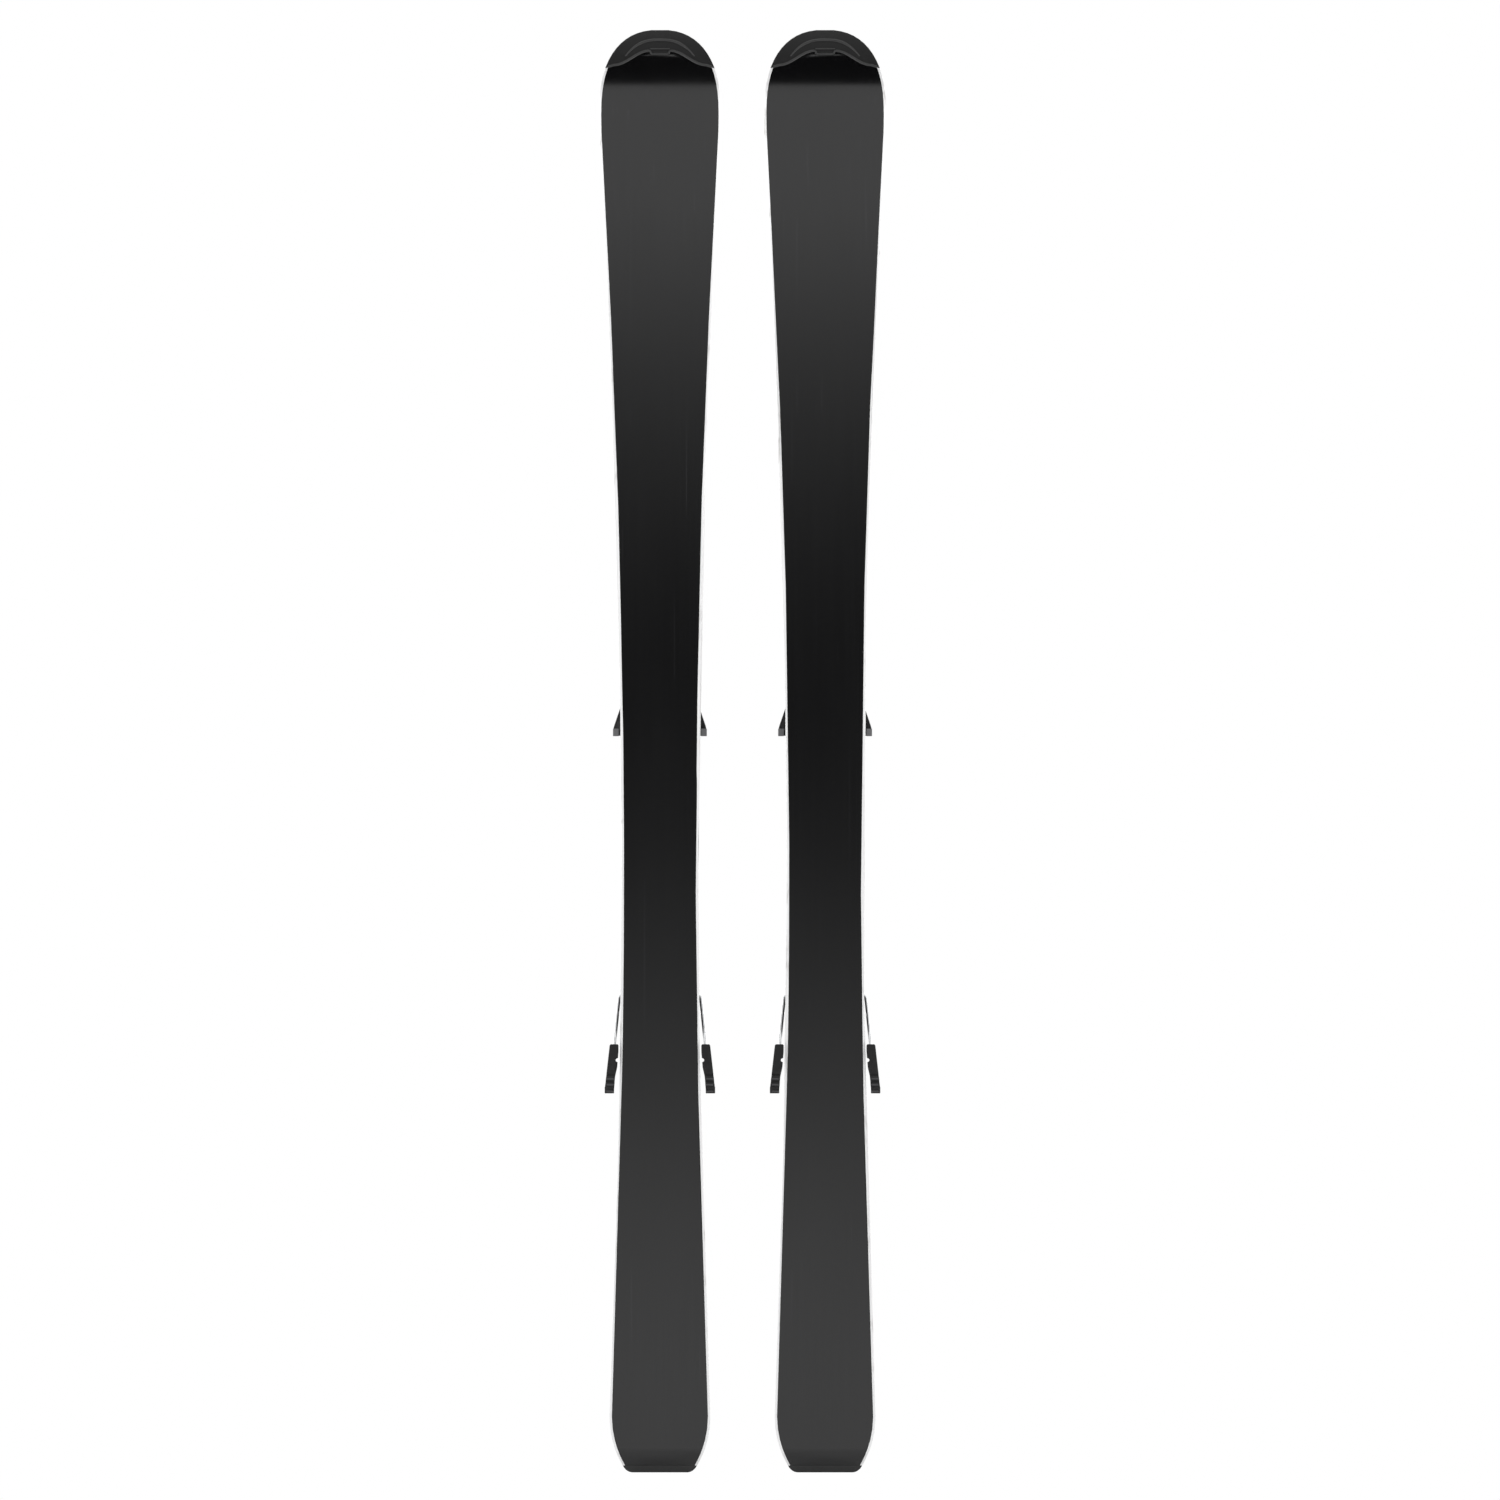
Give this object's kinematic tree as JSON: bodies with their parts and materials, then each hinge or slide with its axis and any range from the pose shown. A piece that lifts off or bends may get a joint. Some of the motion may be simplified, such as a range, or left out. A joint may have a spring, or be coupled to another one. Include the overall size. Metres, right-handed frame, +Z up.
{
  "type": "alpine skis with bindings",
  "caption": "Upright alpine skis with sidecut, steel edges and end protectors, and step-in bindings: sprung toe wings, heel cup with lever, folding brake.",
  "frame": {"origin": "on the floor between the two tails, under the middle of the pair's box", "axes": "+Z up along the skis from tail to tip, +Y from the running bases to the bindings, +X across the pair from the left ski to the right one"},
  "size_m": [0.2992, 0.1744, 1.5],
  "materials": {
    "running_base": "ground polyethylene running base",
    "edge_steel": "ground hard steel edge",
    "core_wood": "laminated wood core",
    "sidewall": "planed ABS sidewall",
    "top_sheet": "clear coated laminate",
    "end_protector": "moulded end protector",
    "rail_composite": "glass filled nylon rail",
    "binding_body": "moulded nylon",
    "binding_shell": "satin moulded housing",
    "wing_shell": "moulded wing",
    "lever_shell": "moulded lever",
    "piston_aluminium": "turned aluminium",
    "spring_steel": "oiled spring steel",
    "screw_zinc": "zinc plated screw",
    "pin_steel": "turned steel pin",
    "slide_pad": "low friction pad",
    "brake_bracket": "moulded bracket",
    "brake_pedal": "moulded pedal",
    "brake_wire": "polished bright wire",
    "brake_foot": "moulded brake foot"
  },
  "bodies": {
    "left_ski": {"left_base_sheet": "running_base", "left_edge_left": "edge_steel", "left_edge_right": "edge_steel", "left_core": "core_wood", "left_sidewall_left": "sidewall", "left_sidewall_right": "sidewall", "left_top_sheet": "top_sheet", "left_tip_cap": "end_protector", "left_tail_cap": "end_protector", "left_binding_rail": "rail_composite", "left_toe_chassis": "binding_body", "left_toe_housing": "binding_shell", "left_toe_spring": "spring_steel"},
    "left_toe_wing_l": {"left_toe_wing_left": "wing_shell"},
    "left_toe_wing_r": {"left_toe_wing_right": "wing_shell"},
    "left_piston": {"left_toe_piston": "piston_aluminium"},
    "left_toe_setting": {"left_toe_screw": "screw_zinc"},
    "left_sole_slide": {"left_toe_slide_pad": "slide_pad"},
    "left_carriage": {"left_heel_carriage": "binding_body", "left_heel_axle": "pin_steel", "left_brake_bracket": "brake_bracket"},
    "left_heel": {"left_heel_housing": "binding_shell", "left_heel_spring": "spring_steel", "left_lever_pin": "pin_steel"},
    "left_lever": {"left_heel_lever": "lever_shell"},
    "left_heel_setting": {"left_heel_screw": "screw_zinc"},
    "left_brake": {"left_brake_pedal": "brake_pedal", "left_brake_wire": "brake_wire", "left_brake_foot_left": "brake_foot", "left_brake_foot_right": "brake_foot"},
    "right_ski": {"right_base_sheet": "running_base", "right_edge_left": "edge_steel", "right_edge_right": "edge_steel", "right_core": "core_wood", "right_sidewall_left": "sidewall", "right_sidewall_right": "sidewall", "right_top_sheet": "top_sheet", "right_tip_cap": "end_protector", "right_tail_cap": "end_protector", "right_binding_rail": "rail_composite", "right_toe_chassis": "binding_body", "right_toe_housing": "binding_shell", "right_toe_spring": "spring_steel"},
    "right_toe_wing_l": {"right_toe_wing_left": "wing_shell"},
    "right_toe_wing_r": {"right_toe_wing_right": "wing_shell"},
    "right_piston": {"right_toe_piston": "piston_aluminium"},
    "right_toe_setting": {"right_toe_screw": "screw_zinc"},
    "right_sole_slide": {"right_toe_slide_pad": "slide_pad"},
    "right_carriage": {"right_heel_carriage": "binding_body", "right_heel_axle": "pin_steel", "right_brake_bracket": "brake_bracket"},
    "right_heel": {"right_heel_housing": "binding_shell", "right_heel_spring": "spring_steel", "right_lever_pin": "pin_steel"},
    "right_lever": {"right_heel_lever": "lever_shell"},
    "right_heel_setting": {"right_heel_screw": "screw_zinc"},
    "right_brake": {"right_brake_pedal": "brake_pedal", "right_brake_wire": "brake_wire", "right_brake_foot_left": "brake_foot", "right_brake_foot_right": "brake_foot"}
  },
  "joints": [
    {"name": "left_toe_wing_l_open", "type": "hinge", "parent": "left_ski", "child": "left_toe_wing_l", "pos_m": [-0.0619, 0.01804, 0.806], "axis": [0, -1, 0], "range_deg": [0, 30], "stiffness_Nm_per_rad": 2, "springref_deg": -28.65},
    {"name": "left_toe_wing_r_open", "type": "hinge", "parent": "left_ski", "child": "left_toe_wing_r", "pos_m": [-0.1099, 0.01804, 0.806], "axis": [0, 1, 0], "range_deg": [0, 30], "stiffness_Nm_per_rad": 2, "springref_deg": -28.65},
    {"name": "left_piston_slide", "type": "slide", "parent": "left_ski", "child": "left_piston", "axis": [0, 0, 1], "range_m": [0, 0.006], "stiffness_N_per_m": 2000, "springref_m": -0.01, "deforming": ["left_toe_spring"]},
    {"name": "left_toe_setting_turn", "type": "hinge", "parent": "left_ski", "child": "left_toe_setting", "pos_m": [-0.0859, 0.01804, 0.857], "axis": [0, 0, 1], "range_deg": [-450, 450]},
    {"name": "left_sole_pad_slide", "type": "slide", "parent": "left_ski", "child": "left_sole_slide", "axis": [1, 0, 0], "range_m": [-0.005, 0.005], "stiffness_N_per_m": 900},
    {"name": "left_heel_length_slide", "type": "slide", "parent": "left_ski", "child": "left_carriage", "axis": [0, 0, 1], "range_m": [-0.015, 0.015]},
    {"name": "left_heel_open", "type": "hinge", "parent": "left_carriage", "child": "left_heel", "pos_m": [-0.0859, 0.00404, 0.437], "axis": [-1, 0, 0], "range_deg": [0, 38]},
    {"name": "left_lever_press", "type": "hinge", "parent": "left_heel", "child": "left_lever", "pos_m": [-0.0859, 0.04204, 0.429], "axis": [-1, 0, 0], "range_deg": [0, 25], "stiffness_Nm_per_rad": 0.5, "springref_deg": -28.65},
    {"name": "left_heel_setting_turn", "type": "hinge", "parent": "left_heel", "child": "left_heel_setting", "pos_m": [-0.0859, 0.02204, 0.411], "axis": [0, 0, 1], "range_deg": [-450, 450]},
    {"name": "left_brake_fold", "type": "hinge", "parent": "left_carriage", "child": "left_brake", "pos_m": [-0.0859, -0.00496, 0.497], "axis": [1, 0, 0], "range_deg": [0, 40], "stiffness_Nm_per_rad": 2.5, "springref_deg": -34.38},
    {"name": "right_toe_wing_l_open", "type": "hinge", "parent": "right_ski", "child": "right_toe_wing_l", "pos_m": [0.1099, 0.01804, 0.806], "axis": [0, -1, 0], "range_deg": [0, 30], "stiffness_Nm_per_rad": 2, "springref_deg": -28.65},
    {"name": "right_toe_wing_r_open", "type": "hinge", "parent": "right_ski", "child": "right_toe_wing_r", "pos_m": [0.0619, 0.01804, 0.806], "axis": [0, 1, 0], "range_deg": [0, 30], "stiffness_Nm_per_rad": 2, "springref_deg": -28.65},
    {"name": "right_piston_slide", "type": "slide", "parent": "right_ski", "child": "right_piston", "axis": [0, 0, 1], "range_m": [0, 0.006], "stiffness_N_per_m": 2000, "springref_m": -0.01, "deforming": ["right_toe_spring"]},
    {"name": "right_toe_setting_turn", "type": "hinge", "parent": "right_ski", "child": "right_toe_setting", "pos_m": [0.0859, 0.01804, 0.857], "axis": [0, 0, 1], "range_deg": [-450, 450]},
    {"name": "right_sole_pad_slide", "type": "slide", "parent": "right_ski", "child": "right_sole_slide", "axis": [1, 0, 0], "range_m": [-0.005, 0.005], "stiffness_N_per_m": 900},
    {"name": "right_heel_length_slide", "type": "slide", "parent": "right_ski", "child": "right_carriage", "axis": [0, 0, 1], "range_m": [-0.015, 0.015]},
    {"name": "right_heel_open", "type": "hinge", "parent": "right_carriage", "child": "right_heel", "pos_m": [0.0859, 0.00404, 0.437], "axis": [-1, 0, 0], "range_deg": [0, 38]},
    {"name": "right_lever_press", "type": "hinge", "parent": "right_heel", "child": "right_lever", "pos_m": [0.0859, 0.04204, 0.429], "axis": [-1, 0, 0], "range_deg": [0, 25], "stiffness_Nm_per_rad": 0.5, "springref_deg": -28.65},
    {"name": "right_heel_setting_turn", "type": "hinge", "parent": "right_heel", "child": "right_heel_setting", "pos_m": [0.0859, 0.02204, 0.411], "axis": [0, 0, 1], "range_deg": [-450, 450]},
    {"name": "right_brake_fold", "type": "hinge", "parent": "right_carriage", "child": "right_brake", "pos_m": [0.0859, -0.00496, 0.497], "axis": [1, 0, 0], "range_deg": [0, 40], "stiffness_Nm_per_rad": 2.5, "springref_deg": -34.38},
    {"name": "pair_apart", "type": "slide", "parent": "left_ski", "child": "right_ski", "axis": [1, 0, 0], "range_m": [0, 0.25]}
  ]
}
